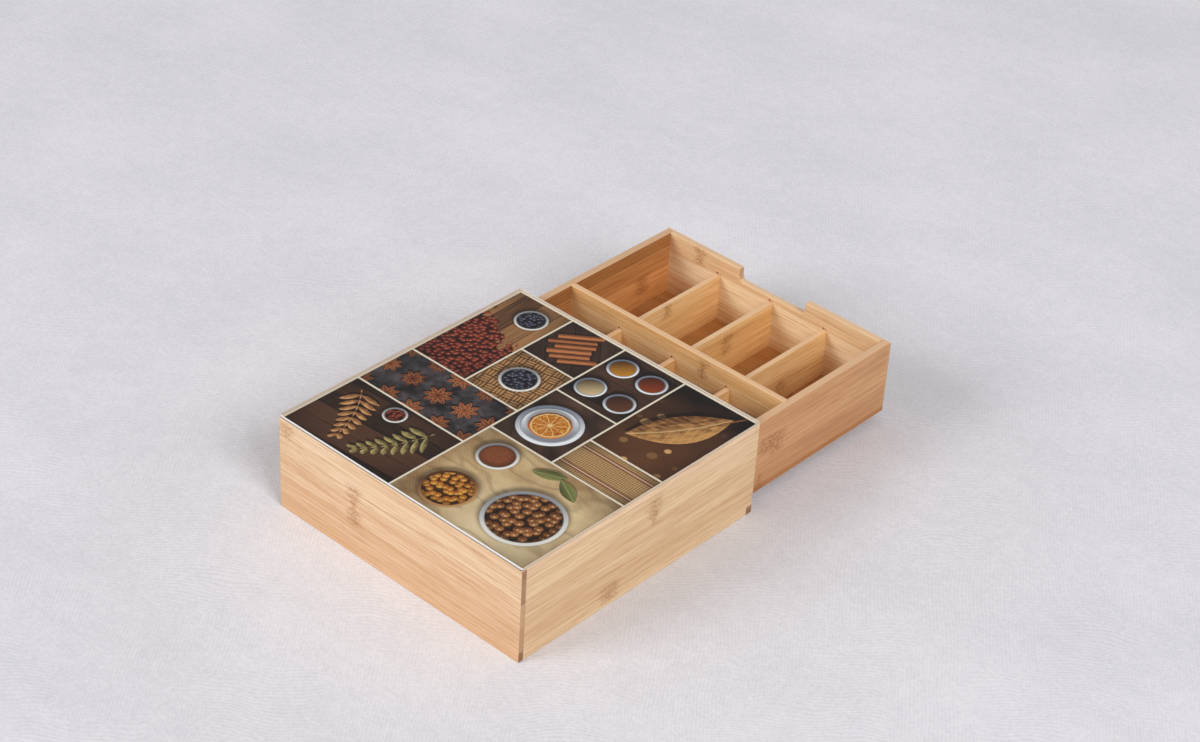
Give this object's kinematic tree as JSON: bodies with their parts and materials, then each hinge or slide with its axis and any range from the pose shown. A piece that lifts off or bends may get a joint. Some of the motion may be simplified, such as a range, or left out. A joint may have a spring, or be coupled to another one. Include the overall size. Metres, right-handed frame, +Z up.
{
  "type": "tea bag drawer box",
  "caption": "Low square bamboo box with a printed glass top and a full-width drawer, split by crossed dividers into compartments for tea bags.",
  "frame": {"origin": "centre of the case's underside, on the surface it stands on", "axes": "+Z up, the drawer opens towards -Y, +X to the right as seen from the drawer's front"},
  "size_m": [0.31, 0.5276, 0.1045],
  "materials": {
    "case_bamboo": "satin lacquer",
    "base_bamboo": "satin lacquer",
    "drawer_bamboo": "satin lacquer",
    "floor_bamboo": "satin lacquer",
    "divider_bamboo": "satin lacquer",
    "printed_sheet": "matt print",
    "clear_glass": "polished"
  },
  "bodies": {
    "case": {"case_side_left": "case_bamboo", "case_side_right": "case_bamboo", "case_back": "case_bamboo", "case_base": "base_bamboo", "case_front_rail": "base_bamboo", "case_top_board": "case_bamboo", "print_sheet": "printed_sheet", "glass_top": "clear_glass"},
    "drawer": {"drawer_front": "drawer_bamboo", "drawer_back": "drawer_bamboo", "drawer_side_left": "drawer_bamboo", "drawer_side_right": "drawer_bamboo", "drawer_floor": "floor_bamboo", "long_divider": "divider_bamboo", "cross_divider_front_1": "divider_bamboo", "cross_divider_front_2": "divider_bamboo", "cross_divider_front_3": "divider_bamboo", "cross_divider_rear_1": "divider_bamboo", "cross_divider_rear_2": "divider_bamboo", "cross_divider_rear_3": "divider_bamboo"}
  },
  "joints": [
    {"name": "drawer_slide", "type": "slide", "parent": "case", "child": "drawer", "axis": [0, -1, 0], "range_m": [-0.2116, 0.07]}
  ]
}
